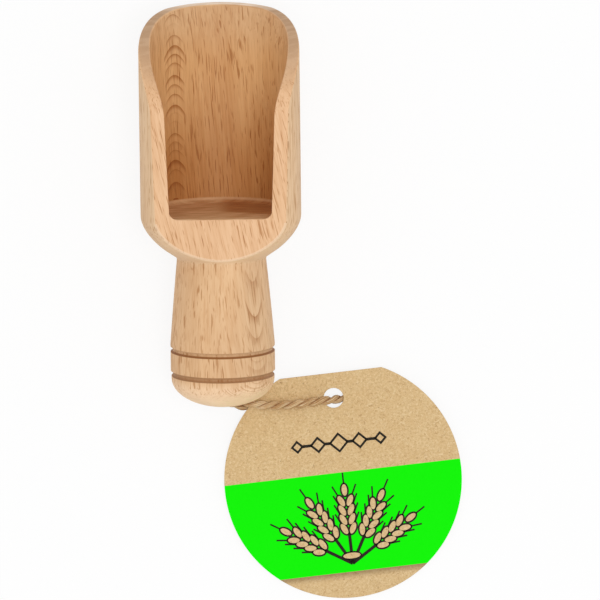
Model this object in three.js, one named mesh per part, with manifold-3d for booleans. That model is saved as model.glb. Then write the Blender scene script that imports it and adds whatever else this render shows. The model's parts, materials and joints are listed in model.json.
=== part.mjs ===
// Turned beech flour scoop with a round card tag on a loop of jute twine.
// Millimetres, +Z up. The scoop lies on its back on z = 0 with its lip towards +Y,
// and the origin is on the table under the middle of the scoop's length.
import * as THREE from "three";
import { mergeVertices } from "three/addons/utils/BufferGeometryUtils.js";
import Module from "manifold-3d";

// Bowl. Along the scoop's axis the bowl's floor is at 0 and the lip is at +BOWL_DEPTH.
const BOWL_DIAMETER = 49.6;
const BORE_DIAMETER = 42.2;
const BOWL_DEPTH = 62.3;
const FLOOR_FILLET = 2;
const LIP_FLARE = 1.2; // the bore widens by this much all round towards the lip
const LIP_FLARE_LENGTH = 6;

// Opening: a flat that falls slightly towards the lip, then one curve down to the lip's end.
const FLAT_HEIGHT = 14.4; // above the axis, over the bowl's floor
const FLAT_FALL = THREE.MathUtils.degToRad(2.6);
const FLAT_LENGTH = 31.5; // from the floor to the start of the curve
const CURVE_START_PULL = 13.5;
const CURVE_END_PULL = 13;

// Solid base and shoulder between the bowl's floor and the neck.
const BASE_LENGTH = 13.8;
const SHOULDER_STRAIGHT = 0.6; // straight side past the floor
const SHOULDER_ROUND = 5;
const SHOULDER_SLANT = THREE.MathUtils.degToRad(60); // to the axis, at the neck
const SHOULDER_PULL = 5;
const NECK_FILLET = 0.8;

// Handle, from the neck to the domed end.
const HANDLE_LENGTH = 46.9;
const NECK_DIAMETER = 27.6;
const BARREL_DIAMETER = 32.3;
const FLANK_BULGE = 0.05;
const DOME_DIAMETER = 31.9;
const DOME_HEIGHT = 9;
const GROOVE_WIDTH = 1.7;
const GROOVE_DEPTH = 0.65;
const GROOVE_SPACING = 7.6;
const GROOVE_LAND = 0.75; // plain wood on the outer side of each groove

// Blind hole for the twine, square to the dome's underside.
const TWINE_HOLE_DIAMETER = 6;
const TWINE_HOLE_DEPTH = 9;
const TWINE_HOLE_FROM_END = 1.4; // along the axis
const COUNTERSINK_DIAMETER = 9;
const COUNTERSINK_DEPTH = 1.5;

// Card tag: a disc with a straight top edge, a punched hole and its far edge on the table.
const TAG_DIAMETER = 74;
const TAG_TOP_FROM_CENTRE = 33.4;
const TAG_HOLE_DIAMETER = 6.2;
const TAG_HOLE_FROM_CENTRE = 25.6;
const TAG_THICKNESS = 0.8;
const TAG_TURN = THREE.MathUtils.degToRad(6);
const TAG_HOLE_HEIGHT = 2.9; // underside of the card at its hole
const TAG_EDGE_HEIGHT = 0.1; // underside of the card at its far edge
const TAG_HOLE_FROM_TWINE_HOLE = new THREE.Vector2(34.2, -0.9);

// Twine: both ends sit in the twine hole. It runs over the card, down through the tag's hole
// and back under the card. Each point is right of, beyond and above the twine hole's mouth.
const TWINE_DIAMETER = 2.2;
const TWINE_ROUTE = [
  [0.8, 5.1, 3.6],
  [0.85, 3.2, 2.5],
  [1.1, 1.65, 1.6],
  [1.9, 0.4, 0.75],
  [3.2, -0.6, 0.0],
  [5.0, -1.35, -0.5],
  [7.4, -2.1, -0.8],
  [10.4, -2.75, -0.9],
  [14.0, -3.1, -0.9],
  [18.5, -3.0, -0.9],
  [23.5, -2.7, -0.9],
  [27.2, -2.25, -0.9],
  [29.9, -1.9, -0.95],
  [32.0, -1.65, -1.3],
  [34.2, -1.45, -2.9],
  [36.4, -1.25, -4.5],
  [38.8, -1.0, -4.9],
  [41.05, -1.5, -4.9],
  [42.7, -3.0, -4.9],
  [43.3, -5.1, -4.9],
  [42.7, -7.35, -4.9],
  [41.05, -9.0, -4.9],
  [38.6, -9.6, -4.9],
  [32.8, -9.0, -4.9],
  [25.0, -7.4, -4.9],
  [17.0, -5.6, -4.9],
  [11.0, -4.3, -4.85],
  [7.2, -3.45, -4.7],
  [4.3, -2.75, -4.3],
  [1.9, -1.95, -3.5],
  [0.2, -0.9, -2.45],
  [-0.65, 0.4, -1.25],
  [-0.9, 2.0, -0.05],
  [-0.9, 3.9, 1.1],
  [-0.9, 6.1, 2.4],
];

// Fineness of the curved faces
const TURNED_SIDES = 60;
const PROFILE_STEPS = 5;
const BORE_STEPS = 3;
const OPENING_STEPS = 18;
const HOLE_SIDES = 24;
const TAG_STEPS = 36;
const TWINE_SIDES = 8;
const TWINE_STEPS = 72;

// Cutters run this far past what they cut.
const CUT_MARGIN = 6;
const WELD_DISTANCE = 1e-4;

const wasm = await Module();
wasm.setup();

// A closed geometry as a solid that can be cut
function solidOf(geometry) {
  const bare = geometry.clone();
  bare.deleteAttribute("normal");
  bare.deleteAttribute("uv");
  const merged = mergeVertices(bare, WELD_DISTANCE);
  const corners = merged.index.array;
  const triangles = [];
  for (let i = 0; i < corners.length; i += 3) {
    const [a, b, c] = corners.slice(i, i + 3);
    if (a !== b && b !== c && c !== a) triangles.push(a, b, c);
  }
  return new wasm.Manifold(new wasm.Mesh({
    numProp: 3,
    vertProperties: new Float32Array(merged.attributes.position.array),
    triVerts: new Uint32Array(triangles),
  }));
}

function geometryOf(solid) {
  const { vertProperties, triVerts } = solid.getMesh();
  const geometry = new THREE.BufferGeometry();
  geometry.setAttribute("position", new THREE.BufferAttribute(vertProperties, 3));
  geometry.setIndex(new THREE.BufferAttribute(triVerts, 1));
  geometry.computeVertexNormals();
  return geometry;
}

// A flat facet is at the very bottom of every turned shape, so that the scoop can lie on it.
function turned(profile) {
  return new THREE.LatheGeometry(profile, TURNED_SIDES, Math.PI / TURNED_SIDES);
}

// Places along the axis
const neckPlace = -BASE_LENGTH;
const endPlace = neckPlace - HANDLE_LENGTH;
const domePlace = endPlace + DOME_HEIGHT;

// Half outline of the blank as it leaves the lathe: radius across, axis upwards
function blankProfile() {
  const barrel = BARREL_DIAMETER / 2;
  const dome = DOME_DIAMETER / 2;
  const neck = NECK_DIAMETER / 2;
  const bowl = BOWL_DIAMETER / 2;
  const lowerGroove = domePlace + GROOVE_LAND + GROOVE_WIDTH / 2;
  const upperGroove = lowerGroove + GROOVE_SPACING;
  const barrelTop = upperGroove + GROOVE_WIDTH / 2 + GROOVE_LAND;
  const blankTop = BOWL_DEPTH + CUT_MARGIN;

  const path = new THREE.Path();
  path.moveTo(0, endPlace);
  path.absellipse(0, domePlace, dome, DOME_HEIGHT, -Math.PI / 2, 0);
  path.lineTo(dome, lowerGroove - GROOVE_WIDTH / 2);
  path.quadraticCurveTo(dome - 2 * GROOVE_DEPTH, lowerGroove, barrel, lowerGroove + GROOVE_WIDTH / 2);
  path.lineTo(barrel, upperGroove - GROOVE_WIDTH / 2);
  path.quadraticCurveTo(barrel - 2 * GROOVE_DEPTH, upperGroove, barrel, upperGroove + GROOVE_WIDTH / 2);
  path.lineTo(barrel, barrelTop);

  const flankMiddle = (barrelTop + neckPlace) / 2;
  path.quadraticCurveTo((barrel + neck) / 2 + 2 * FLANK_BULGE, flankMiddle, neck, neckPlace - NECK_FILLET);
  const slant = new THREE.Vector2(Math.sin(SHOULDER_SLANT), Math.cos(SHOULDER_SLANT));
  const crease = new THREE.Vector2(neck, neckPlace);
  const shoulderStart = crease.clone().addScaledVector(slant, NECK_FILLET);
  const shoulderPull = shoulderStart.clone().addScaledVector(slant, SHOULDER_PULL);
  path.quadraticCurveTo(crease.x, crease.y, shoulderStart.x, shoulderStart.y);
  path.bezierCurveTo(
    shoulderPull.x, shoulderPull.y,
    bowl, -SHOULDER_STRAIGHT - SHOULDER_ROUND,
    bowl, -SHOULDER_STRAIGHT,
  );
  path.lineTo(bowl, blankTop);
  path.lineTo(0, blankTop);
  return path.getPoints(PROFILE_STEPS);
}

function boreProfile() {
  const bore = BORE_DIAMETER / 2;
  const boreTop = BOWL_DEPTH + 2 * CUT_MARGIN;
  const path = new THREE.Path();
  path.moveTo(0, 0);
  path.lineTo(bore - FLOOR_FILLET, 0);
  path.absarc(bore - FLOOR_FILLET, FLOOR_FILLET, FLOOR_FILLET, -Math.PI / 2, 0);
  path.lineTo(bore, BOWL_DEPTH - LIP_FLARE_LENGTH);
  path.quadraticCurveTo(bore, BOWL_DEPTH - LIP_FLARE_LENGTH / 2, bore + LIP_FLARE, BOWL_DEPTH);
  path.lineTo(bore + LIP_FLARE, boreTop);
  path.lineTo(0, boreTop);
  return path.getPoints(BORE_STEPS);
}

// Height of the opening's flat above the axis
function flatHeight(place) {
  return FLAT_HEIGHT - place * Math.tan(FLAT_FALL);
}

// All that the opening takes away, as one side outline pulled across the bowl
function openingCutter() {
  const bowl = BOWL_DIAMETER / 2;
  const back = neckPlace - CUT_MARGIN;
  const above = BOWL_DIAMETER;
  const below = -bowl - CUT_MARGIN;
  const front = BOWL_DEPTH + 2 * CUT_MARGIN;
  const curveStart = new THREE.Vector2(FLAT_LENGTH, flatHeight(FLAT_LENGTH));
  const pullPlace = FLAT_LENGTH + CURVE_START_PULL;

  const side = new THREE.Shape();
  side.moveTo(back, flatHeight(back));
  side.lineTo(curveStart.x, curveStart.y);
  side.bezierCurveTo(
    pullPlace, flatHeight(pullPlace),
    BOWL_DEPTH, CURVE_END_PULL - bowl,
    BOWL_DEPTH, -bowl,
  );
  side.lineTo(BOWL_DEPTH, below);
  side.lineTo(front, below);
  side.lineTo(front, above);
  side.lineTo(back, above);
  side.closePath();

  const across = BOWL_DIAMETER + 2 * CUT_MARGIN;
  const cutter = new THREE.ExtrudeGeometry(side, {
    depth: across, bevelEnabled: false, curveSegments: OPENING_STEPS,
  });
  cutter.translate(0, 0, -across / 2);
  const sideways = new THREE.Matrix4().makeBasis(
    new THREE.Vector3(0, 1, 0), new THREE.Vector3(0, 0, 1), new THREE.Vector3(1, 0, 0),
  );
  return cutter.applyMatrix4(sideways);
}

// The twine hole's mouth on the dome's underside and the way it faces
const mouthAngle = Math.acos(1 - TWINE_HOLE_FROM_END / DOME_HEIGHT);
const mouth = new THREE.Vector3(
  0, domePlace - DOME_HEIGHT * Math.cos(mouthAngle), -Math.sin(mouthAngle) * DOME_DIAMETER / 2,
);
const mouthFacing = new THREE.Vector3(
  0, -Math.cos(mouthAngle) / DOME_HEIGHT, -Math.sin(mouthAngle) / (DOME_DIAMETER / 2),
).normalize();

function twineHoleCutter() {
  const drillLength = TWINE_HOLE_DEPTH + CUT_MARGIN;
  const drill = new THREE.CylinderGeometry(
    TWINE_HOLE_DIAMETER / 2, TWINE_HOLE_DIAMETER / 2, drillLength, HOLE_SIDES,
  );
  drill.translate(0, drillLength / 2 - TWINE_HOLE_DEPTH, 0);
  const flare = (COUNTERSINK_DIAMETER - TWINE_HOLE_DIAMETER) / 2 / COUNTERSINK_DEPTH;
  const coneTip = TWINE_HOLE_DIAMETER / 2 / flare + COUNTERSINK_DEPTH;
  const coneLength = coneTip + COUNTERSINK_DEPTH;
  const cone = new THREE.ConeGeometry(coneLength * flare, coneLength, HOLE_SIDES);
  cone.rotateX(Math.PI);
  cone.translate(0, coneLength / 2 - coneTip, 0);
  const turn = new THREE.Quaternion().setFromUnitVectors(new THREE.Vector3(0, 1, 0), mouthFacing);
  const place = new THREE.Matrix4().compose(mouth, turn, new THREE.Vector3(1, 1, 1));
  return solidOf(drill.applyMatrix4(place)).add(solidOf(cone.applyMatrix4(place)));
}

// Lying on its back, the scoop touches the table under its shoulder and under its handle:
// the highest straight line over the neck that touches the outline on both sides of it.
function restingTilt(profile) {
  const facet = Math.cos(Math.PI / TURNED_SIDES);
  let highest = -Infinity;
  let tilt = 0;
  for (const ahead of profile.filter((point) => point.y > neckPlace)) {
    for (const behind of profile.filter((point) => point.y < neckPlace)) {
      const rise = ((ahead.x - behind.x) * facet) / (ahead.y - behind.y);
      const overNeck = behind.x * facet + rise * (neckPlace - behind.y);
      if (overNeck > highest) {
        highest = overNeck;
        tilt = Math.atan(rise);
      }
    }
  }
  return tilt;
}

const beech = new THREE.MeshStandardMaterial({ color: 0xe0b68c, roughness: 0.6, metalness: 0 });
const kraftCard = new THREE.MeshStandardMaterial({ color: 0xd4b583, roughness: 0.9, metalness: 0 });
const juteTwine = new THREE.MeshStandardMaterial({ color: 0xcbab7d, roughness: 0.95, metalness: 0 });

// Scoop
const profile = blankProfile();
const scoopSolid = solidOf(turned(profile))
  .subtract(solidOf(turned(boreProfile())))
  .subtract(solidOf(openingCutter()))
  .subtract(twineHoleCutter());
const scoopBody = new THREE.Mesh(geometryOf(scoopSolid), beech);
scoopBody.name = "scoop_body";
const scoop = new THREE.Group();
scoop.rotation.x = restingTilt(profile);
scoop.add(scoopBody);
const scoopBox = new THREE.Box3().setFromObject(scoop, true);
scoop.position.set(0, -(scoopBox.min.y + scoopBox.max.y) / 2, -scoopBox.min.z);
scoop.updateMatrixWorld(true);
const mouthPlace = scoop.localToWorld(mouth.clone());

// Tag, drawn around its punched hole
const tagRadius = TAG_DIAMETER / 2;
const tagCorner = Math.asin(TAG_TOP_FROM_CENTRE / tagRadius);
const tagOutline = new THREE.Shape();
tagOutline.absarc(0, -TAG_HOLE_FROM_CENTRE, tagRadius, tagCorner, Math.PI - tagCorner, true);
const tagBlank = new THREE.ExtrudeGeometry(tagOutline, {
  depth: TAG_THICKNESS, bevelEnabled: false, curveSegments: TAG_STEPS,
});
const punch = new THREE.CylinderGeometry(
  TAG_HOLE_DIAMETER / 2, TAG_HOLE_DIAMETER / 2, TAG_THICKNESS + 2 * CUT_MARGIN, HOLE_SIDES,
);
punch.rotateX(Math.PI / 2);
const tagSolid = solidOf(tagBlank).subtract(solidOf(punch));
const tagCard = new THREE.Mesh(geometryOf(tagSolid), kraftCard);
tagCard.name = "tag_card";
const farEdge = TAG_HOLE_FROM_CENTRE + tagRadius;
tagCard.rotation.x = Math.asin((TAG_HOLE_HEIGHT - TAG_EDGE_HEIGHT) / farEdge);
const tag = new THREE.Group();
tag.rotation.z = TAG_TURN;
tag.position.set(
  mouthPlace.x + TAG_HOLE_FROM_TWINE_HOLE.x, mouthPlace.y + TAG_HOLE_FROM_TWINE_HOLE.y, TAG_HOLE_HEIGHT,
);
tag.add(tagCard);

// Twine
const twinePath = new THREE.CatmullRomCurve3(
  TWINE_ROUTE.map(([x, y, z]) => new THREE.Vector3(x, y, z)), false, "centripetal",
);
const twineSection = new THREE.Shape();
for (let i = 0; i < TWINE_SIDES; i += 1) {
  const angle = (i / TWINE_SIDES) * 2 * Math.PI;
  const corner = new THREE.Vector2(Math.cos(angle), Math.sin(angle)).multiplyScalar(TWINE_DIAMETER / 2);
  if (i === 0) twineSection.moveTo(corner.x, corner.y);
  else twineSection.lineTo(corner.x, corner.y);
}
twineSection.closePath();
const twineTube = new THREE.ExtrudeGeometry(twineSection, {
  steps: TWINE_STEPS, bevelEnabled: false, extrudePath: twinePath,
});
const twineLoop = new THREE.Mesh(twineTube, juteTwine);
twineLoop.name = "twine_loop";
twineLoop.position.copy(mouthPlace);

const flourScoop = new THREE.Group();
flourScoop.add(scoop, tag, twineLoop);

export default flourScoop;
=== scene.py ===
"""Dresses the flour scoop: a turned beech scoop, and a kraft card tag on a loop of jute twine."""
import json
import math
import random

import bmesh
import bpy
from mathutils import Matrix, Vector
from mathutils.geometry import interpolate_bezier
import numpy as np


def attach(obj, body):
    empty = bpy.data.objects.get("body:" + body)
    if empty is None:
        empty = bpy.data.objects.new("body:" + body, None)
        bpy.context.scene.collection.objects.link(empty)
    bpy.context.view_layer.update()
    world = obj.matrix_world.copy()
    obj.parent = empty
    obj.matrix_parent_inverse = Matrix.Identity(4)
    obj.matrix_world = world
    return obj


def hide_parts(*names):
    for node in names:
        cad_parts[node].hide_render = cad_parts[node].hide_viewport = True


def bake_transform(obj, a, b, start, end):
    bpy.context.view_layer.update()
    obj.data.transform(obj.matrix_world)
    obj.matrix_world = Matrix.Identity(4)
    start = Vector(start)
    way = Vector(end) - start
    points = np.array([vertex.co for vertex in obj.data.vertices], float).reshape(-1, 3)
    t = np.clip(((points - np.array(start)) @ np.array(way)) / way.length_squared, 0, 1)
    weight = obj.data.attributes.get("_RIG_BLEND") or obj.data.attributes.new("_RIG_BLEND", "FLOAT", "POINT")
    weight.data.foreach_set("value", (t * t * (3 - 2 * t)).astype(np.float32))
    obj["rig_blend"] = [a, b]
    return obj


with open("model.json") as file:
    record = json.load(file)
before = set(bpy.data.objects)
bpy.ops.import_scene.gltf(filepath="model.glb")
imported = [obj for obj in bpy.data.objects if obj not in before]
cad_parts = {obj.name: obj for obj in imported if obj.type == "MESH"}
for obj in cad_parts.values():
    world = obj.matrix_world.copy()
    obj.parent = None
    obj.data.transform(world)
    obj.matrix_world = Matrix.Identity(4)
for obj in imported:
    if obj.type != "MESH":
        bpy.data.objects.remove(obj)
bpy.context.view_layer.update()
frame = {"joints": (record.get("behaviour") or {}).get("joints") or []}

MM = 0.001
scene = bpy.context.scene

# Edges that turn by more than these stay sharp.
SCOOP_SMOOTHING = math.radians(38)
TWINE_SMOOTHING = math.radians(60)
TAG_SMOOTHING = math.radians(50)
PRINT_SMOOTHING = math.radians(40)

# Where the two joints turn, in metres
JOINT_PLACES = {joint["name"]: Vector(joint["pos_m"]) for joint in frame["joints"]}
TWINE_MOUTH = JOINT_PLACES["twine_swing"]
TAG_HOLE = JOINT_PLACES["tag_turn"]

# Scoop, in millimetres. Along its axis the bowl's floor is at 0 and the lip at BOWL_DEPTH.
BOWL_RADIUS = 24.8
BORE_RADIUS = 21.1
BOWL_DEPTH = 62.3
FLOOR_FILLET = 2.0
LIP_FLARE = 1.2
LIP_FLARE_LENGTH = 12.0
LIP_END_HEIGHT = 5.5  # over the bowl's underside: below it the lip's end is flat
FLAT_HEIGHT = 14.4
FLAT_FALL = math.tan(math.radians(2.6))
FLAT_LENGTH = 31.5
CURVE_START_PULL = 13.5
CURVE_END_PULL = 13.0
NECK_PLACE = -13.8
SHOULDER_PLACE = -0.6
SHOULDER_ROUND = 5.0
SHOULDER_SLANT = math.radians(60)
SHOULDER_PULL = 5.0
NECK_FILLET = 0.8
NECK_RADIUS = 13.8
BARREL_RADIUS = 16.15
BARREL_PLACE = -40.9
FLANK_BULGE = 0.05
DOME_RADIUS = 15.95
DOME_PLACE = -51.7
DOME_HEIGHT = 9.0
LOWER_GROOVE = -50.1
UPPER_GROOVE = -42.5
GROOVE_WIDTH = 1.7
GROOVE_DEPTH = 0.65
TWINE_HOLE_RADIUS = 3.0
TWINE_HOLE_DEPTH = 9.0
COUNTERSINK_RADIUS = 4.5
COUNTERSINK_DEPTH = 1.5
RIM_EASING = 0.55
RIM_WELD = RIM_EASING * 1.2  # points closer than this to a rim join it before it is eased
RIM_MERGE = 0.3  # points closer than this on a rim become one
OUTER_RIM_END = -1.5  # the rim over the solid base lies behind this place
CUT_MARGIN = 6.0
CUT_LEVELS = (0.0, 0.5, 1.0, 0.5)  # the mark of turned, bored, opened and drilled faces
BORED = 1  # the number of bored faces among these
SQUARE = 0.999  # faces that look along the axis by more are square to it
ARC_PULL = 0.5523  # of a quarter arc, as a share of its radius

# Steps along the turned outlines, and round the shapes
DOME_STEPS = 24
GROOVE_STEPS = 10
FLANK_STEPS = 12
NECK_STEPS = 6
SHOULDER_STEPS = 20
SHOULDER_SKIPPED = 4
CORNER_STEPS = 8
OPENING_POINTS = 33
TURNED_STEPS = 240
DRILL_STEPS = 64
RIM_STEPS = 4

# The scoop lies on its back, so its axis rises towards the lip.
SCOOP_TILT = math.radians(9.76215)
FLOOR_MIDDLE = Vector((0, -2.6867, 24.5091))
SCOOP_MATRIX = (
    Matrix.Scale(MM, 4)
    @ Matrix.Translation(FLOOR_MIDDLE)
    @ Matrix.Rotation(SCOOP_TILT, 4, "X")
)

# Wood, in millimetres. Its year layers face up and to the right, and rise a little along the axis.
LAYER_LEAN = math.radians(42)
LAYER_RISE = 0.15
LAYER_THICKNESS = 0.46
LAYER_START = 0.01
PITH_DISTANCE = 95.0
WAVE_SIZE = (22, 50, 22)
WAVE_REACH = (2.4, 0.0, 0.6)
FLAT_GRAIN_LEAN = 0.2
BOWL_GRAIN_LEAN = 0.07
BOWL_LEAN_START = 15.0
HANDLE_GRAIN_LEAN = 0.13
HANDLE_LEAN_START = -18.0
NECK_SPAN = (-14, -18)  # the year lines change between these places on the axis
FIBRE_SIZE = (0.48, 18, 0.48)
STREAK_SIZE = (1.4, 45, 1.4)
TONE_SIZE = (9, 60, 9)
LONG_PORE_SIZE = (0.42, 9.5, 0.8)
SHORT_PORE_SIZE = (0.36, 6.0, 0.6)
SHORT_PORE_SHIFT = (37, 11, 5)
END_STREAK_SIZE = (11, 30, 1.5)
END_STREAK_LEAN = math.radians(-13)

# Tag, in millimetres, drawn around its punched hole
TAG_RADIUS = 37.0
TAG_CENTRE = -25.6
TAG_TOP = 33.4
TAG_HOLE_RADIUS = 3.1
TAG_THICKNESS = 0.8
TAG_EASING = 0.09
TAG_STEPS = 256
TAG_HOLE_STEPS = 64
TAG_BORDER = 0.97  # the rim's border ends at this share of the card
TAG_HOLE_BORDER = 1.3  # the hole's border ends at this share of the hole
BAND_TOP = -23.35
BAND_BOTTOM = -54.5
BAND_BLUR = 0.06
BAND_SHADE = 2.6
TAG_TURN = math.radians(6.0)
TAG_TILT = math.radians(2.5636)
TAG_MATRIX = (
    Matrix.Scale(MM, 4)
    @ Matrix.Translation(TAG_HOLE / MM)
    @ Matrix.Rotation(TAG_TURN, 4, "Z")
    @ Matrix.Rotation(TAG_TILT, 4, "X")
)

# Print, in millimetres on the tag
EAR_COUNT = 5
EAR_SPREAD = math.radians(116)
EAR_FOOT = -52.0
STEM_LENGTH = 11.0
STEM_WIDTH = 1.0
GRAIN_PAIRS = 4
GRAIN_STEP = 2.9
GRAIN_SIZE = (1.7, 3.6)
GRAIN_SIDE = 1.35
GRAIN_LEAN = math.radians(26)
GRAIN_OUTLINE = 1.1
TIP_RISE = 0.5
BEARD_PLACE = GRAIN_SIZE[1] * 0.95
BEARD_SIZE = (0.5, GRAIN_SIZE[1] * 1.1)
TIE_RISE = 2.5
TIE_SIZE = (5.4, 1.8)
TIE_OUTLINE = 1.0
ROW_PLACE = -14.0
ROW_WIDTH = 26.0
ROW_LINE = 0.9
LOZENGE_COUNT = 5
LOZENGE_SIZE = 4.5
LOZENGE_SHRINK = 1.1
LOZENGE_OUTLINE = 1.9
OVAL_SIDES = 24
LOZENGE_SIDES = 4
INK_SINK = 0.02
BLACK_HEIGHT = 0.03
PALE_HEIGHT = 0.05

# Twine, in metres. Its route is in millimetres right of, beyond and above the twine hole's mouth.
TWINE_DIAMETER = 0.0022
TWINE_ROUTE = [
    (0.8, 5.1, 3.6),
    (0.85, 3.2, 2.5),
    (1.1, 1.65, 1.6),
    (1.9, 0.4, 0.75),
    (3.2, -0.6, 0),
    (5, -1.35, -0.5),
    (7.4, -2.1, -0.8),
    (10.4, -2.75, -0.9),
    (14, -3.1, -0.9),
    (18.5, -3, -0.9),
    (23.5, -2.7, -0.9),
    (27.2, -2.25, -0.9),
    (29.9, -1.9, -0.95),
    (32, -1.65, -1.3),
    (34.2, -1.45, -2.9),
    (36.4, -1.25, -4.5),
    (38.8, -1, -4.9),
    (41.05, -1.5, -4.9),
    (42.7, -3, -4.9),
    (43.3, -5.1, -4.9),
    (42.7, -7.35, -4.9),
    (41.05, -9, -4.9),
    (38.6, -9.6, -4.9),
    (32.8, -9, -4.9),
    (25, -7.4, -4.9),
    (17, -5.6, -4.9),
    (11, -4.3, -4.85),
    (7.2, -3.45, -4.7),
    (4.3, -2.75, -4.3),
    (1.9, -1.95, -3.5),
    (0.2, -0.9, -2.45),
    (-0.65, 0.4, -1.25),
    (-0.9, 2, -0.05),
    (-0.9, 3.9, 1.1),
    (-0.9, 6.1, 2.4),
]
TWINE_BEND_START = 0.0015
TWINE_BEND_LENGTH = 0.0075
PLY_RADIUS = 0.00079
PLY_OFFSET = 0.00061
PLY_LAY = 0.0080
PLY_STEP = 0.0004
PLY_SIDES = 12
PLY_FLOOR = PLY_RADIUS * 1.05
SWELL_KEPT = 0.9
SWELL_STEP = 0.022
HAIR_COUNT = 260
HAIR_LENGTHS = (0.0008, 0.0021)
HAIR_RADII = (0.00004, 0.000012)
HAIR_ROOT = TWINE_DIAMETER * 0.4
HAIR_SPREAD = (0.2, 0.7)
HAIR_FLOOR = 0.0003
HAIR_END_GAP = 8  # points at each end of the line that grow no hairs

# Studio, in metres
CAMERA_DISTANCE = 2.4
CAMERA_ELEVATION = math.radians(89.749)
CAMERA_ROLL = math.radians(-0.659)
CAMERA_TARGET = Vector((0.0241, -0.0300, 0))
CAMERA_LENS = 461.8
KEY_LIGHT_PLACE = Vector((0.12, -0.12, 1.1))
KEY_LIGHT_SIZE = 0.45
KEY_LIGHT_POWER = 3.6
WORLD_LIGHT = 0.75
TABLE_SIZE = 4
TABLE_DROP = 0.0002
TABLE_GREY = 0.92
WHITE_SHARE = 0.85


# Shader helpers

def add(tree, kind, inputs=None, **settings):
    """A new node with its settings, and its inputs set or linked by name or number."""
    new = tree.nodes.new(kind)
    for name, value in settings.items():
        setattr(new, name, value)
    for name, value in (inputs or {}).items():
        set_input(tree, new.inputs[name], value)
    return new


def set_input(tree, socket, value):
    """Links the socket to another one, or gives it a plain value."""
    if isinstance(value, bpy.types.NodeSocket):
        tree.links.new(value, socket)
    else:
        socket.default_value = value


def math_node(tree, operation, *values):
    return add(tree, "ShaderNodeMath", dict(enumerate(values)), operation=operation).outputs[0]


def product(tree, value, *factors):
    """The value times all the factors."""
    for factor in factors:
        value = math_node(tree, "MULTIPLY", value, factor)
    return value


def distance(tree, value, place):
    """How far the value is from the place, on either side."""
    return math_node(tree, "ABSOLUTE", math_node(tree, "SUBTRACT", value, place))


def vector_node(tree, operation, *values):
    new = add(tree, "ShaderNodeVectorMath", dict(enumerate(values)), operation=operation)
    return new.outputs["Value" if operation == "DOT_PRODUCT" else "Vector"]


def alignment(tree, facing, direction):
    """How squarely a face looks along the direction or against it, from 0 to 1."""
    return math_node(tree, "ABSOLUTE", vector_node(tree, "DOT_PRODUCT", facing, direction))


def ramp(tree, value, low, high, to_low=0.0, to_high=1.0):
    """The value carried smoothly from low..high to to_low..to_high."""
    new = add(
        tree, "ShaderNodeMapRange",
        {"Value": value, "From Min": low, "From Max": high, "To Min": to_low, "To Max": to_high},
        interpolation_type="SMOOTHSTEP",
    )
    return new.outputs["Result"]


def mix(tree, factor, first, second, blend="MIX"):
    """A colour between two others, or with "MULTIPLY" the first one tinted by the second."""
    new = add(tree, "ShaderNodeMix", data_type="RGBA", blend_type=blend, clamp_factor=True)
    for number, value in ((0, factor), (6, first), (7, second)):
        set_input(tree, new.inputs[number], value)
    return new.outputs[2]


def mix_values(tree, factor, first, second):
    """A value between two others."""
    new = add(tree, "ShaderNodeMix", data_type="FLOAT")
    for number, value in ((0, factor), (2, first), (3, second)):
        set_input(tree, new.inputs[number], value)
    return new.outputs[0]


def split(tree, vector):
    """The three parts of a vector."""
    return add(tree, "ShaderNodeSeparateXYZ", {"Vector": vector}).outputs


def attribute(tree, name, output="Fac"):
    """A value, or with "Vector" a vector, that the mesh holds on its faces or points."""
    return add(tree, "ShaderNodeAttribute", attribute_name=name).outputs[output]


def stretched(tree, vector, sizes):
    """Coordinates in which a texture's features get these sizes along the three axes."""
    scale = [1 / size for size in sizes]
    return add(tree, "ShaderNodeMapping", {"Vector": vector, "Scale": scale}).outputs["Vector"]


def noise(tree, vector, sizes, detail=2.0, roughness=0.5, distortion=0.0, output="Fac"):
    """A cloudy value, or with "Color" three of them, with features of these sizes."""
    new = add(
        tree, "ShaderNodeTexNoise",
        {
            "Vector": stretched(tree, vector, sizes), "Scale": 1.0,
            "Detail": detail, "Roughness": roughness, "Distortion": distortion,
        },
    )
    return new.outputs[output]


def own_millimetres(tree, place):
    """Object coordinates carried back to the millimetres of the shape that the matrix put in place."""
    location, rotation, size = place.inverted().decompose()
    return add(
        tree, "ShaderNodeMapping",
        {
            "Vector": add(tree, "ShaderNodeTexCoord").outputs["Object"],
            "Location": location, "Rotation": rotation.to_euler(), "Scale": size,
        },
    ).outputs["Vector"]


def srgb(red, green, blue):
    """A colour written as it shows on a screen, from 0 to 255, as the shader's linear one."""
    linear = []
    for level in (red / 255, green / 255, blue / 255):
        linear.append(level / 12.92 if level <= 0.04045 else ((level + 0.055) / 1.055) ** 2.4)
    return (*linear, 1.0)


def new_material(name):
    """A material with its node tree and its main shader."""
    material = bpy.data.materials.new(name)
    material.use_nodes = True
    tree = material.node_tree
    shader = tree.nodes["Principled BSDF"]
    return material, tree, shader


def finish_surface(tree, shader, color, roughness, height, bump_depth, specular):
    """Links a surface's colour, roughness and bump, whose depth is in millimetres."""
    tree.links.new(color, shader.inputs["Base Color"])
    tree.links.new(roughness, shader.inputs["Roughness"])
    bump = add(tree, "ShaderNodeBump", {"Height": height, "Strength": 1.0, "Distance": bump_depth * MM})
    tree.links.new(bump.outputs["Normal"], shader.inputs["Normal"])
    shader.inputs["Specular IOR Level"].default_value = specular


# Mesh helpers

def plain_object(name, bm, material=None):
    """A named object at the origin from a bmesh, which is used up."""
    mesh = bpy.data.meshes.new(name)
    bm.to_mesh(mesh)
    bm.free()
    if material:
        mesh.materials.append(material)
    made = bpy.data.objects.new(name, mesh)
    scene.collection.objects.link(made)
    return made


def finish_piece(name, bm, material, smooth_angle):
    """A plain object with smooth faces, and sharp edges over the angle."""
    for face in bm.faces:
        face.smooth = True
    made = plain_object(name, bm, material)
    made.data.set_sharp_from_angle(angle=smooth_angle)
    return made


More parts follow.
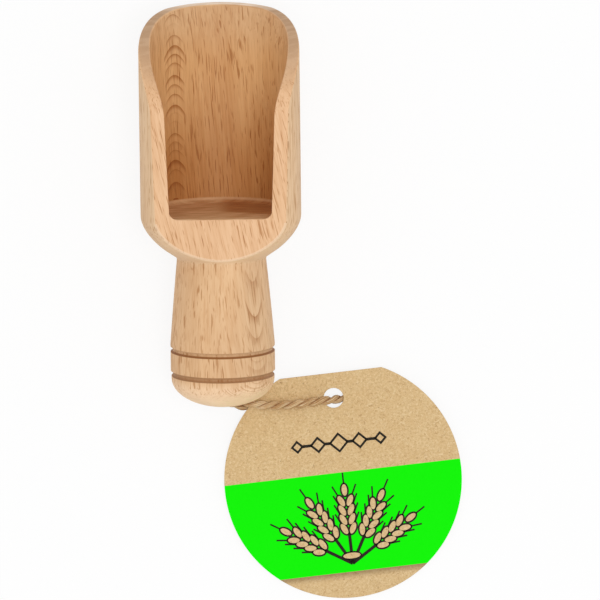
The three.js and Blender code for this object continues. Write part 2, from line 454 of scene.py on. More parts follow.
def even_normals(piece):
    """Lets large faces keep their own shading beside eased edges."""
    even = piece.modifiers.new("even_normals", "WEIGHTED_NORMAL")
    even.keep_sharp = True


def cut_away(body, cutters):
    """The body's mesh with the cutters' shapes taken away. All of these working objects are removed."""
    for cutter in cutters:
        cut = body.modifiers.new("cut", "BOOLEAN")
        cut.operation = "DIFFERENCE"
        cut.solver = "EXACT"
        cut.material_mode = "TRANSFER"
        cut.object = cutter
    graph = bpy.context.evaluated_depsgraph_get()
    mesh = bpy.data.meshes.new_from_object(body.evaluated_get(graph))
    bm = bmesh.new()
    bm.from_mesh(mesh)
    bpy.data.meshes.remove(mesh)
    for used in (body, *cutters):
        data = used.data
        bpy.data.objects.remove(used)
        bpy.data.meshes.remove(data)
    return bm


def extrude(bm, faces, reach):
    """Pulls the faces out along a vector, so that they become a solid."""
    grown = bmesh.ops.extrude_face_region(bm, geom=faces)["geom"]
    moved = [part for part in grown if isinstance(part, bmesh.types.BMVert)]
    bmesh.ops.translate(bm, verts=moved, vec=reach)


class Outline:
    """Half outline of a turned shape: radius along X, the turning axis along Y."""

    def __init__(self, radius, place):
        self.points = [Vector((radius, place, 0))]

    def line(self, radius, place):
        self.points.append(Vector((radius, place, 0)))

    def curve(self, first_pull, second_pull, end, steps, skipped=0):
        """A curve as points, of which the first ones can be skipped."""
        knots = [Vector((*point, 0)) for point in (first_pull, second_pull, end)]
        self.points += interpolate_bezier(self.points[-1], *knots, steps + 1)[1 + skipped:]

    def bend(self, pull, end, steps):
        """A curve with one pull point: both of its pulls lie two thirds of the way there."""
        start = self.points[-1]
        first = [s + (p - s) * 2 / 3 for s, p in zip(start.xy, pull)]
        second = [e + (p - e) * 2 / 3 for e, p in zip(end, pull)]
        self.curve(first, second, end, steps)


def turn(outline, steps=TURNED_STEPS):
    """Turns an outline once round its axis."""
    bm = bmesh.new()
    verts = [bm.verts.new(point) for point in outline.points]
    edges = [bm.edges.new(pair) for pair in zip(verts, verts[1:])]
    bmesh.ops.spin(
        bm, geom=verts + edges, axis=(0, 1, 0), cent=(0, 0, 0),
        steps=steps, angle=2 * math.pi, use_merge=True,
    )
    bmesh.ops.remove_doubles(bm, verts=bm.verts, dist=1e-4)
    bmesh.ops.recalc_face_normals(bm, faces=bm.faces)
    return bm


# Scoop

def flat_height(place):
    """Height of the opening's flat face over the axis."""
    return FLAT_HEIGHT - place * FLAT_FALL


def blank_outline():
    """The turned blank from the handle's end to past the lip."""
    outline = Outline(0, DOME_PLACE - DOME_HEIGHT)
    outline.curve(
        (DOME_RADIUS * ARC_PULL, DOME_PLACE - DOME_HEIGHT),
        (DOME_RADIUS, DOME_PLACE - DOME_HEIGHT * ARC_PULL),
        (DOME_RADIUS, DOME_PLACE), DOME_STEPS,
    )
    before = DOME_RADIUS
    for place in (LOWER_GROOVE, UPPER_GROOVE):
        outline.line(before, place - GROOVE_WIDTH / 2)
        bottom = (BARREL_RADIUS - 2 * GROOVE_DEPTH, place)
        outline.bend(bottom, (BARREL_RADIUS, place + GROOVE_WIDTH / 2), GROOVE_STEPS)
        before = BARREL_RADIUS
    outline.line(BARREL_RADIUS, BARREL_PLACE)
    flank_middle = ((BARREL_RADIUS + NECK_RADIUS) / 2 + 2 * FLANK_BULGE, (BARREL_PLACE + NECK_PLACE) / 2)
    outline.bend(flank_middle, (NECK_RADIUS, NECK_PLACE - NECK_FILLET), FLANK_STEPS)
    slant = Vector((math.sin(SHOULDER_SLANT), math.cos(SHOULDER_SLANT)))
    crease = Vector((NECK_RADIUS, NECK_PLACE))
    start = crease + slant * NECK_FILLET
    outline.bend(crease, start, NECK_STEPS)
    outline.curve(
        start + slant * SHOULDER_PULL,
        (BOWL_RADIUS, SHOULDER_PLACE - SHOULDER_ROUND),
        (BOWL_RADIUS, SHOULDER_PLACE), SHOULDER_STEPS, skipped=SHOULDER_SKIPPED,
    )
    outline.line(BOWL_RADIUS, BOWL_DEPTH + CUT_MARGIN)
    outline.line(0, BOWL_DEPTH + CUT_MARGIN)
    return outline


def bore_outline():
    """What the bore takes away, from the bowl's floor to past the lip, where it widens as a cone."""
    outline = Outline(0, 0)
    corner = BORE_RADIUS - FLOOR_FILLET
    outline.line(corner, 0)
    outline.curve(
        (corner + FLOOR_FILLET * ARC_PULL, 0),
        (BORE_RADIUS, FLOOR_FILLET * (1 - ARC_PULL)),
        (BORE_RADIUS, FLOOR_FILLET), CORNER_STEPS,
    )
    outline.line(BORE_RADIUS, BOWL_DEPTH - LIP_FLARE_LENGTH)
    past = BOWL_DEPTH + LIP_FLARE_LENGTH
    outline.line(BORE_RADIUS + 2 * LIP_FLARE, past)
    outline.line(0, past)
    return outline


def opening_block():
    """What the opening takes away: its side outline pulled across the bowl."""
    back = NECK_PLACE - CUT_MARGIN
    front = BOWL_DEPTH + 2 * CUT_MARGIN
    pull = FLAT_LENGTH + CURVE_START_PULL
    lip = Vector((0, BOWL_DEPTH, -BOWL_RADIUS))
    curve = interpolate_bezier(
        Vector((0, FLAT_LENGTH, flat_height(FLAT_LENGTH))),
        Vector((0, pull, flat_height(pull))),
        Vector((0, BOWL_DEPTH, CURVE_END_PULL - BOWL_RADIUS)),
        lip, OPENING_POINTS,
    )
    side = [Vector((0, back, flat_height(back)))]
    side += [point for point in curve if point.z > LIP_END_HEIGHT - BOWL_RADIUS]
    side += [
        lip + (lip - side[-1]),
        Vector((0, front, 2 * lip.z)),
        Vector((0, front, 2 * BOWL_RADIUS)),
        Vector((0, back, 2 * BOWL_RADIUS)),
    ]
    bm = bmesh.new()
    face = bm.faces.new([bm.verts.new(point) for point in side])
    across = 2 * (BOWL_RADIUS + CUT_MARGIN)
    extrude(bm, [face], (across, 0, 0))
    bmesh.ops.translate(bm, verts=bm.verts, vec=(-across / 2, 0, 0))
    bmesh.ops.recalc_face_normals(bm, faces=bm.faces)
    return bm


def twine_drill():
    """A blunt drill with a countersink, on the dome's underside where the joint's pivot says."""
    mouth = SCOOP_MATRIX.inverted() @ TWINE_MOUTH
    facing = Vector((0, (mouth.y - DOME_PLACE) / DOME_HEIGHT ** 2, mouth.z / DOME_RADIUS ** 2))
    outline = Outline(0, -TWINE_HOLE_DEPTH)
    outline.line(TWINE_HOLE_RADIUS, -TWINE_HOLE_DEPTH)
    outline.line(TWINE_HOLE_RADIUS, -COUNTERSINK_DEPTH)
    flare = (COUNTERSINK_RADIUS - TWINE_HOLE_RADIUS) / COUNTERSINK_DEPTH
    clear = CUT_MARGIN / 2
    outline.line(COUNTERSINK_RADIUS + flare * clear, clear)
    outline.line(0, clear)
    bm = turn(outline, DRILL_STEPS)
    turned = Vector((0, 1, 0)).rotation_difference(facing.normalized()).to_matrix().to_4x4()
    bmesh.ops.transform(bm, matrix=Matrix.Translation(mouth) @ turned, verts=bm.verts)
    return bm


def rim_edges(bm):
    """The edges between faces that were cut in different ways."""
    return [
        edge for edge in bm.edges
        if len(edge.link_faces) == 2
        and edge.link_faces[0].material_index != edge.link_faces[1].material_index
    ]


def clean_cuts(bm):
    """Makes the bowl's floor one face, and joins points that crowd each other on the rims."""
    floor = [face for face in bm.faces if face.material_index == BORED and abs(face.normal.y) > SQUARE]
    bmesh.ops.dissolve_faces(bm, faces=floor, use_verts=True)
    bmesh.ops.dissolve_degenerate(bm, dist=RIM_MERGE, edges=rim_edges(bm))


def ease_rims(bm):
    """Rounds the rims. Points that lie too close beside a rim join it first. Returns the new faces."""
    rim_points = [vert for edge in rim_edges(bm) for vert in edge.verts]
    on_rim = set(rim_points)
    joined = {
        edge.other_vert(vert): vert
        for vert in rim_points for edge in vert.link_edges
        if edge.other_vert(vert) not in on_rim and edge.calc_length() < RIM_WELD
    }
    bmesh.ops.weld_verts(bm, targetmap=joined)
    return bmesh.ops.bevel(
        bm, geom=rim_edges(bm), offset=RIM_EASING, offset_type="OFFSET", segments=RIM_STEPS,
        profile=0.5, affect="EDGES", clamp_overlap=False, loop_slide=False, material=-1,
    )["faces"]


def build_scoop(beech):
    """Turns the blank, bores and cuts it, and eases its rims. Attributes keep how a face was made."""
    cuts = {
        "bore_mark": turn(bore_outline()),
        "opening_mark": opening_block(),
        "drill_mark": twine_drill(),
    }
    marks = [bpy.data.materials.new(name) for name in cuts]
    cutters = [plain_object(mark.name, shape, mark) for mark, shape in zip(marks, cuts.values())]
    bm = cut_away(plain_object("blank", turn(blank_outline()), beech), cutters)
    clean_cuts(bm)
    outer_rim = bm.faces.layers.float.new("outer_rim")
    freshly_cut = bm.faces.layers.float.new("freshly_cut")
    for face in bm.faces:
        face[freshly_cut] = CUT_LEVELS[face.material_index]
    # The outer rim's eased faces get a painted highlight in the wood.
    for face in ease_rims(bm):
        face[outer_rim] = float(face.calc_center_median().y < OUTER_RIM_END)
    for face in bm.faces:
        face.material_index = 0
    bmesh.ops.transform(bm, matrix=SCOOP_MATRIX, verts=bm.verts)
    scoop = finish_piece("turned_scoop", bm, beech, SCOOP_SMOOTHING)
    even_normals(scoop)
    for mark in marks:
        bpy.data.materials.remove(mark)
    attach(scoop, "scoop")
    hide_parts("scoop_body")


# Beech: the darker and the paler tone of each kind of face, single colours, and tints

TURNED_TONES = (srgb(222, 187, 148), srgb(230, 195, 155))
BORED_TONES = (srgb(215, 165, 110), srgb(222, 175, 121))
OPENED_TONES = (srgb(226, 181, 137), srgb(233, 190, 148))
FLOOR_TONES = (srgb(192, 142, 96), srgb(218, 176, 132))
# The lip's end grain, darker at its sides and paler towards its bottom: the change is painted light
LIP_SHADED_AND_LIT_TONES = (srgb(190, 156, 124), srgb(240, 218, 196))
# Painted highlight along the corner where the bowl's floor meets its wall
FLOOR_CORNER_HIGHLIGHT = srgb(228, 186, 140)
# Painted highlight along the eased outer rim
RIM_HIGHLIGHT_COLOR = srgb(246, 220, 190)
# Burned grooves: a real burn, whose darkest tone also stands in for painted shade
BURN_AND_SHADE_COLOR = srgb(138, 84, 34)
STREAK_TINT = (0.88, 0.81, 0.74, 1)
FIBRE_TINT = (0.87, 0.79, 0.71, 1)
YEAR_TINT = (0.58, 0.39, 0.23, 1)
LONG_PORE_TINT = (0.66, 0.51, 0.36, 1)
SHORT_PORE_TINT = (0.7, 0.56, 0.42, 1)
# Painted shade: the bowl's inside is browner deep down, where little light reaches
DEEP_SHADE_TINT = (0.79, 0.65, 0.48, 1)
# Painted light: the bowl's inside is paler and greyer near the lip, where the light falls in
NEAR_LIP_LIGHT_TINT = (0.96, 1.02, 1.2, 1)
HANDLE_TINT = (0.98, 0.905, 0.82, 1)
# Painted light: the dome is brighter, as if it caught more of the light
DOME_LIGHT_TINT = (1.19, 1.22, 1.29, 1)
# Painted shadow: the right wall's shadow on the lower right of the bowl's floor
FLOOR_SHADOW_TINT = (0.66, 0.46, 0.3, 1)
LIP_STREAK_TINT = (0.84, 0.78, 0.72, 1)


def layer_place(tree, own):
    """Wood coordinates: across the fibres within a year layer, along the fibres, and through the layers."""
    turned = add(tree, "ShaderNodeMapping", {"Vector": own, "Rotation": (0, -LAYER_LEAN, 0)})
    layers = turned.outputs["Vector"]
    waves = noise(tree, layers, WAVE_SIZE, output="Color")
    waves = vector_node(tree, "SUBTRACT", waves, (0.5, 0.5, 0.5))
    waves = vector_node(tree, "MULTIPLY", waves, WAVE_REACH)
    return vector_node(tree, "ADD", layers, waves)


def grain_place(tree, own, layers, cut):
    """The same with the fibres leaning on the opening, in the bowl and on the right of the handle."""
    right, along = split(tree, own)[:2]
    from_bowl = math_node(tree, "SUBTRACT", along, BOWL_LEAN_START)
    in_bowl = product(tree, from_bowl, ramp(tree, cut, 0.0, 0.5, 0.0, BOWL_GRAIN_LEAN))
    extra_lean = FLAT_GRAIN_LEAN - BOWL_GRAIN_LEAN
    on_flat = product(tree, from_bowl, ramp(tree, cut, 0.5, 1.0, 0.0, extra_lean))
    from_neck = math_node(tree, "SUBTRACT", along, HANDLE_LEAN_START)
    from_neck = math_node(tree, "MINIMUM", from_neck, 0.0)
    on_handle = product(tree, from_neck, ramp(tree, right, -3, 9, 0.0, HANDLE_GRAIN_LEAN))
    lean = math_node(tree, "ADD", math_node(tree, "ADD", in_bowl, on_flat), on_handle)
    lean = add(tree, "ShaderNodeCombineXYZ", {"X": lean, "Z": lean}).outputs["Vector"]
    shift = vector_node(tree, "MULTIPLY", lean, (math.cos(LAYER_LEAN), 0, math.sin(LAYER_LEAN)))
    return vector_node(tree, "ADD", layers, shift)


def year_lines(tree, layers, facing):
    """Brown lines at the year layers' ends, uneven in strength, where a layer meets the surface flat."""
    across, along, through = split(tree, layers)
    bow = product(tree, across, across, 0.5 / PITH_DISTANCE)
    layer = math_node(tree, "ADD", math_node(tree, "MULTIPLY_ADD", along, LAYER_RISE, through), bow)
    past_flare = math_node(tree, "SUBTRACT", along, BOWL_DEPTH - LIP_FLARE_LENGTH)
    past_flare = math_node(tree, "MAXIMUM", past_flare, 0.0)
    layer = math_node(tree, "MULTIPLY_ADD", past_flare, LIP_FLARE / LIP_FLARE_LENGTH, layer)

    def uneven(scale, detail):
        """A value that changes from layer to layer."""
        inputs = {"W": layer, "Scale": scale, "Detail": detail}
        return add(tree, "ShaderNodeTexNoise", inputs, noise_dimensions="1D").outputs[0]

    year = math_node(tree, "MULTIPLY_ADD", layer, 1 / LAYER_THICKNESS, LAYER_START)
    year = math_node(tree, "MULTIPLY_ADD", uneven(0.45, 2.0), 3.0, year)
    strength = uneven(0.9, 1.0)
    end = math_node(tree, "POWER", math_node(tree, "FRACT", year), 2.2)
    end = product(tree, end, ramp(tree, strength, 0.36, 0.6, 0.35, 1.0))
    layer_normal = Vector((math.sin(LAYER_LEAN), 0, math.cos(LAYER_LEAN)))
    flatness = alignment(tree, facing, SCOOP_MATRIX.to_3x3().normalized() @ layer_normal)
    for widening in (
        product(tree, strength, 0.03),
        ramp(tree, along, *NECK_SPAN, -0.016, -0.004),
        ramp(tree, along, DOME_PLACE, DOME_PLACE - 1.5, 0.0, 0.3),
    ):
        flatness = math_node(tree, "ADD", flatness, widening)
    shown = ramp(tree, flatness, 0.976, 0.994, 0.07, 1.0)
    return product(tree, end, shown, ramp(tree, along, *NECK_SPAN, 1.0, 0.8))


def dashes(tree, grain, sizes, shift, low, high):
    """Short dark lines along the fibres, where a stretched noise is at its highest."""
    moved = vector_node(tree, "ADD", grain, shift)
    return ramp(tree, noise(tree, moved, sizes, detail=1.0), low, high)


def groove_burn_and_shade(tree, along):
    """Both grooves are burned, the lower one all over; the wall next to the handle's end is darker still,
    which is painted shade.
    """
    half = GROOVE_WIDTH / 2
    burns = []
    # The heavier share on the wall next to the handle's end is painted shade over the burn
    for place, inner_wall, outer_wall in ((LOWER_GROOVE, 0.62, 0.76), (UPPER_GROOVE, 0.25, 0.95)):
        inside = ramp(tree, distance(tree, along, place), half + 0.12, half - 0.12)
        wall = ramp(tree, along, place - 0.05, place - 0.45, inner_wall, outer_wall)
        burns.append(product(tree, inside, wall))
    return math_node(tree, "MAXIMUM", *burns)


def end_grain_share(tree, to_axis, cut):
    """How much of the fibres' ends shows: on the bowl's floor and on the lip's flat end."""
    bored = product(tree, ramp(tree, to_axis, 0.14, 0.4, 0.0, 0.9), ramp(tree, cut, 0.1, 0.4))
    opened = ramp(tree, to_axis, 0.45, 0.9, 0.0, 0.9)
    return mix_values(tree, ramp(tree, cut, 0.6, 0.8), bored, opened)


def end_grain_color(tree, own, cut):
    """Colour of the fibres' ends: greyish and pale at the lip, with painted light towards its bottom,
    browner on the bowl's floor, with a painted shadow on the floor's lower right and a painted highlight
    along its corner.
    """
    turned = add(tree, "ShaderNodeMapping", {"Vector": own, "Rotation": (0, END_STREAK_LEAN, 0)})
    streak = noise(tree, turned.outputs["Vector"], END_STREAK_SIZE, detail=3.0, roughness=0.6)
    right, along, up = split(tree, own)
    floor = mix(tree, ramp(tree, streak, 0.4, 0.62), *FLOOR_TONES)
    # Painted shadow of the bowl's right wall, on the lower right of the floor
    shadow_edge = math_node(tree, "MULTIPLY_ADD", right, -0.45, up)
    shadow_side = math_node(tree, "MULTIPLY_ADD", streak, 12.0, right)
    floor_shadow = product(tree, ramp(tree, shadow_edge, 0.5, -2.5), ramp(tree, shadow_side, 4.0, 9.5))
    floor = mix(tree, floor_shadow, floor, FLOOR_SHADOW_TINT, "MULTIPLY")
    # painted highlight along the floor's corner
    floor = mix(tree, ramp(tree, along, 0.5, 1.1, 0.0, 0.5), floor, FLOOR_CORNER_HIGHLIGHT)
    # paler towards the lip's bottom, as painted light
    lip = mix(tree, ramp(tree, up, -15, -21), *LIP_SHADED_AND_LIT_TONES)
    lip = mix(tree, ramp(tree, streak, 0.6, 0.42, 0.0, 0.9), lip, LIP_STREAK_TINT, "MULTIPLY")
    return mix(tree, ramp(tree, cut, 0.5, 1.0), floor, lip)


def board_tone(tree, grain, cut):
    """The wood's plain colour, a little uneven, on turned, bored and opened faces."""
    bright = ramp(tree, noise(tree, grain, TONE_SIZE), 0.35, 0.65)
    turned = mix(tree, bright, *TURNED_TONES)
    bored = mix(tree, bright, *BORED_TONES)
    opened = mix(tree, bright, *OPENED_TONES)
    color = mix(tree, ramp(tree, cut, 0.0, 0.5), turned, bored)
    return mix(tree, ramp(tree, cut, 0.5, 1.0), color, opened)


def tint_zones(tree, own, cut, color):
    """Painted shade deep in the bowl, painted light near the lip and on the dome, warmer wood on the
    handle's left, and a painted highlight on the outer rim.
    """
    right, along = split(tree, own)[:2]
    bored = product(tree, ramp(tree, cut, 0.2, 0.5), ramp(tree, cut, 0.8, 0.6))
    on_handle = product(tree, ramp(tree, along, -12, -17), ramp(tree, along, -54, -50))
    for zone, tint in (
        # painted shade deep in the bowl
        (product(tree, ramp(tree, along, 40, 8), bored), DEEP_SHADE_TINT),
        # painted light near the lip
        (product(tree, ramp(tree, along, 42, 60), bored), NEAR_LIP_LIGHT_TINT),
        (product(tree, on_handle, ramp(tree, right, 1, 9, 1.0, 0.5)), HANDLE_TINT),
        # painted light on the dome
        (ramp(tree, along, -50, -54), DOME_LIGHT_TINT),
    ):
        color = mix(tree, zone, color, tint, "MULTIPLY")
    # painted highlight on the outer rim
    return mix(tree, product(tree, attribute(tree, "outer_rim"), 0.4), color, RIM_HIGHLIGHT_COLOR)


def beech_material():
    """Sanded beech: streaks, fibres, pores and year lines along the wood, end grain, burned grooves partly
    darkened as painted shade, and painted light and shade in places.
    """
    material, tree, shader = new_material("sanded_beech")
    own = own_millimetres(tree, SCOOP_MATRIX)
    layers = layer_place(tree, own)
    cut = attribute(tree, "freshly_cut")
    grain = grain_place(tree, own, layers, cut)
    facing = add(tree, "ShaderNodeTexCoord").outputs["Normal"]
    to_axis = alignment(tree, facing, (0, math.cos(SCOOP_TILT), math.sin(SCOOP_TILT)))
    along_fibres = ramp(tree, to_axis, 0.85, 0.3, 0.15, 1.0)
    streak = noise(tree, grain, STREAK_SIZE)
    fibre = noise(tree, grain, FIBRE_SIZE, roughness=0.6)
    years = year_lines(tree, layers, facing)
    long_pores = dashes(tree, grain, LONG_PORE_SIZE, (0, 0, 0), 0.61, 0.71)
    short_pores = dashes(tree, grain, SHORT_PORE_SIZE, SHORT_PORE_SHIFT, 0.61, 0.73)
    color = board_tone(tree, grain, cut)
    for mask, low, high, share, tint in (
        (streak, 0.42, 0.66, 0.5, STREAK_TINT),
        (fibre, 0.44, 0.68, 0.7, FIBRE_TINT),
        (years, 0.0, 1.0, 0.9, YEAR_TINT),
        (long_pores, 0.0, 1.0, 0.9, LONG_PORE_TINT),
        (short_pores, 0.0, 1.0, 0.8, SHORT_PORE_TINT),
    ):
        shown = product(tree, ramp(tree, mask, low, high, 0.0, share), along_fibres)
        color = mix(tree, shown, color, tint, "MULTIPLY")
    color = tint_zones(tree, own, cut, color)
    color = mix(tree, end_grain_share(tree, to_axis, cut), color, end_grain_color(tree, own, cut))
    color = mix(tree, groove_burn_and_shade(tree, split(tree, own)[1]), color, BURN_AND_SHADE_COLOR)
    roughness = ramp(tree, fibre, 0.3, 0.7, 0.56, 0.7)
    pores = math_node(tree, "MAXIMUM", long_pores, short_pores)
    height = math_node(tree, "MULTIPLY_ADD", pores, -0.8, product(tree, fibre, -0.5))
    finish_surface(tree, shader, color, roughness, height, bump_depth=0.035, specular=0.35)
    return material


# Twine

def twine_line():
    """The twine's centre line: points close together on one smooth curve through its route."""
    points = [TWINE_MOUTH + Vector(offset) * MM for offset in TWINE_ROUTE]
    ends = [2 * points[0] - points[1], *points, 2 * points[-1] - points[-2]]
    ways = [(after - before).normalized() for before, after in zip(ends, ends[2:])]
    line = [points[0]]
    for i, (start, end) in enumerate(zip(points, points[1:])):
        reach = (end - start).length / 3
        steps = max(4, round((end - start).length / PLY_STEP))
        line += interpolate_bezier(
            start, start + ways[i] * reach, end - ways[i + 1] * reach, end, steps + 1,
        )[1:]
    return line


def untwisted_stands(points):
    """At each point a matrix that looks along the line and doesn't turn about it."""
    stands = []
    side = Vector((1, 0, 0))
    for i, point in enumerate(points):
        ahead = (points[min(i + 1, len(points) - 1)] - points[max(i - 1, 0)]).normalized()
        side = (side - ahead * side.dot(ahead)).normalized()
        turned = Matrix((side, ahead.cross(side), ahead)).transposed().to_4x4()
        stands.append(Matrix.Translation(point) @ turned)
    return stands


def sweep(bm, points, radii, sides, centres):
    """A closed tube through the points. Its strand attribute says where on the tube a point lies."""
    strand = bm.verts.layers.float_vector["strand"]
    depth = bm.verts.layers.float["depth"]
    places = [
        stand @ Matrix.Scale(radius, 4) for stand, radius in zip(untwisted_stands(points), radii)
    ]
    ring = bmesh.ops.create_circle(bm, segments=sides, radius=1.0, matrix=places[0])["verts"]
    edges = list({edge for vert in ring for edge in vert.link_edges})
    bmesh.ops.contextual_create(bm, geom=edges)
    along = 0.0
    for i, place in enumerate(places):
        if i:
            grown = bmesh.ops.extrude_edge_only(bm, edges=edges)["geom"]
            ring = [part for part in grown if isinstance(part, bmesh.types.BMVert)]
            edges = [part for part in grown if isinstance(part, bmesh.types.BMEdge)]
            bmesh.ops.transform(bm, matrix=place @ places[i - 1].inverted(), verts=ring)
            along += (points[i] - points[i - 1]).length
        back = place.inverted()
        for vert in ring:
            round_place = back @ vert.co
            vert[strand] = (round_place.x, round_place.y, along / TWINE_DIAMETER)
            vert[depth] = (vert.co - centres[i]).length / TWINE_DIAMETER
    bmesh.ops.contextual_create(bm, geom=edges)


def lay_ply(bm, line, stands, start_angle, chance):
    """One ply: a tube that winds round the twine's centre line, a little uneven in thickness."""
    points = []
    radii = []
    along = 0.0
    swell = 1.0
    for i, (centre, stand) in enumerate(zip(line, stands)):
        if i:
            along += (centre - line[i - 1]).length
        angle = start_angle - 2 * math.pi * along / PLY_LAY
        offset = stand.to_3x3() @ Vector((math.cos(angle), math.sin(angle), 0))
        swell = 1 + (swell - 1) * SWELL_KEPT + chance.uniform(-SWELL_STEP, SWELL_STEP)
        point = centre + offset * PLY_OFFSET
        point.z = max(point.z, PLY_FLOOR)
        points.append(point)
        radii.append(PLY_RADIUS * swell)
    sweep(bm, points, radii, PLY_SIDES, line)


def lay_hairs(bm, line, stands, chance):
    """Short loose fibres that leave the plies at a low angle."""
    strand = bm.verts.layers.float_vector["strand"]
    depth = bm.verts.layers.float["depth"]
    for _ in range(HAIR_COUNT):
        i = chance.randrange(HAIR_END_GAP, len(line) - HAIR_END_GAP)
        angle = chance.uniform(0, 2 * math.pi)
        length = chance.uniform(*HAIR_LENGTHS)
        out = Vector((math.cos(angle), math.sin(angle), 0))
        way = (out * chance.uniform(*HAIR_SPREAD) + Vector((0, 0, chance.choice((-1, 1))))).normalized()
        turned = stands[i].to_3x3()
        middle = line[i] + turned @ (out * HAIR_ROOT + way * length / 2)
        if middle.z + (turned @ way).z * length / 2 < HAIR_FLOOR:
            continue
        place = Matrix.Translation(middle) @ (turned @ way).to_track_quat("Z", "Y").to_matrix().to_4x4()
        made = bmesh.ops.create_cone(
            bm, cap_ends=True, segments=3, radius1=HAIR_RADII[0], radius2=HAIR_RADII[1],
            depth=length, matrix=place,
        )
        for vert in made["verts"]:
            vert[strand] = (out.x, out.y, i * PLY_STEP / TWINE_DIAMETER)
            vert[depth] = 0.5


def build_twine(jute):
    """Two plies round one centre line, with loose fibres. The loop bends where it leaves the hole."""
    line = twine_line()
    stands = untwisted_stands(line)
    chance = random.Random(11)
    bm = bmesh.new()
    bm.verts.layers.float_vector.new("strand")
    bm.verts.layers.float.new("depth")
    lay_ply(bm, line, stands, 0.0, chance)
    lay_ply(bm, line, stands, math.pi, chance)
    lay_hairs(bm, line, stands, chance)
    bmesh.ops.recalc_face_normals(bm, faces=bm.faces)
    twine = finish_piece("jute_twine_loop", bm, jute, TWINE_SMOOTHING)
    bend_start = TWINE_MOUTH + Vector((TWINE_BEND_START, 0, 0))
    bend_end = bend_start + Vector((TWINE_BEND_LENGTH, 0, 0))
    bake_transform(twine, "scoop", "twine", start=bend_start, end=bend_end)
    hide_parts("twine_loop")


def jute_material():
    """Jute: pale and brown fibres along each ply, with painted shade in the crevices between the plies."""
    material, tree, shader = new_material("jute_fibres")
    strand = attribute(tree, "strand", "Vector")
    depth = attribute(tree, "depth")
    fibre = noise(tree, strand, (0.22, 0.22, 3.2), detail=3.0, roughness=0.65)
    tone = noise(tree, strand, (1.5, 1.5, 1.3))
    color = mix(tree, ramp(tree, tone, 0.35, 0.65), srgb(196, 158, 110), srgb(214, 183, 138))
    color = mix(tree, ramp(tree, fibre, 0.34, 0.6, 1.0, 0.0), color, (0.6, 0.46, 0.33, 1), "MULTIPLY")
    color = mix(tree, ramp(tree, fibre, 0.54, 0.68, 0.0, 0.8), color, srgb(241, 224, 190))
    # Painted shade: brown in the crevices between the plies, near the twine's centre line
    color = mix(tree, ramp(tree, depth, 0.46, 0.28, 0.0, 0.9), color, srgb(150, 100, 60))
    roughness = ramp(tree, fibre, 0.3, 0.7, 0.8, 0.62)
    finish_surface(tree, shader, color, roughness, fibre, bump_depth=0.12, specular=0.3)
    return material


# Tag

def loop_border(bm, edges, share, centre):
    """A strip of faces from a loop of edges towards or away from the centre. Its far edges are returned."""
    grown = bmesh.ops.extrude_edge_only(bm, edges=edges)["geom"]
    verts = [part for part in grown if isinstance(part, bmesh.types.BMVert)]
    bmesh.ops.scale(bm, vec=(share, share, 1), space=Matrix.Translation(-centre), verts=verts)
    return [
        part for part in grown
        if isinstance(part, bmesh.types.BMEdge) and all(vert in verts for vert in part.verts)
    ]


def build_tag(kraft):
    """A round card with a straight top edge and a punched hole, and narrow borders along its edges."""
    bm = bmesh.new()
    middle = Vector((0, TAG_CENTRE, 0))
    bmesh.ops.create_circle(bm, segments=TAG_STEPS, radius=TAG_RADIUS, matrix=Matrix.Translation(middle))
    bmesh.ops.bisect_plane(
        bm, geom=bm.verts[:] + bm.edges[:], plane_co=middle + Vector((0, TAG_TOP, 0)),
        plane_no=(0, 1, 0), clear_outer=True,
    )
    chord_ends = [vert for vert in bm.verts if len(vert.link_edges) == 1]
    bmesh.ops.contextual_create(bm, geom=chord_ends)
    inside = loop_border(bm, bm.edges[:], TAG_BORDER, middle)
    hole = bmesh.ops.create_circle(bm, segments=TAG_HOLE_STEPS, radius=TAG_HOLE_RADIUS)["verts"]
    hole_edges = list({edge for vert in hole for edge in vert.link_edges})
    inside += loop_border(bm, hole_edges, TAG_HOLE_BORDER, Vector((0, 0, 0)))
    bmesh.ops.triangle_fill(bm, edges=inside, use_beauty=True, normal=(0, 0, 1))
    extrude(bm, bm.faces[:], (0, 0, TAG_THICKNESS))
    bmesh.ops.recalc_face_normals(bm, faces=bm.faces)
    rims = [edge for edge in bm.edges if edge.calc_face_angle(0) > math.radians(60)]
    bmesh.ops.bevel(
        bm, geom=rims, offset=TAG_EASING, offset_type="OFFSET", segments=2, profile=0.5,
        affect="EDGES", clamp_overlap=False, material=-1,
    )
    bmesh.ops.transform(bm, matrix=TAG_MATRIX, verts=bm.verts)
    tag = finish_piece("kraft_tag", bm, kraft, TAG_SMOOTHING)
    even_normals(tag)
    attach(tag, "tag")
    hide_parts("tag_card")


# Print on the tag: a fan of wheat ears on the band and a row of lozenges above it

def stamp_shape(bm, sides, place, size):
    """A flat shape of this width and length: a lozenge with 4 sides, an oval with many."""
    flat = place @ Matrix.Diagonal((size[0] / 2, size[1] / 2, 1, 1))
    bmesh.ops.create_circle(bm, cap_ends=True, segments=sides, radius=1.0, matrix=flat)


def stamp_outlined(black, pale, sides, place, size, outline):
    """A kraft shape on a black one that is larger by the outline."""
    stamp_shape(black, sides, place, (size[0] + outline, size[1] + outline))
    stamp_shape(pale, sides, place, size)


def stamp_bar(bm, place, size):
    """A flat bar of this width and length."""
    eighth_turn = Matrix.Rotation(math.pi / 4, 4, "Z")
    flat = place @ Matrix.Diagonal((size[0], size[1], 1, 1)) @ eighth_turn
    bmesh.ops.create_circle(bm, cap_ends=True, segments=4, radius=math.sqrt(0.5), matrix=flat)


def turned_at(x, y, angle=0.0):
    return Matrix.Translation((x, y, 0)) @ Matrix.Rotation(angle, 4, "Z")


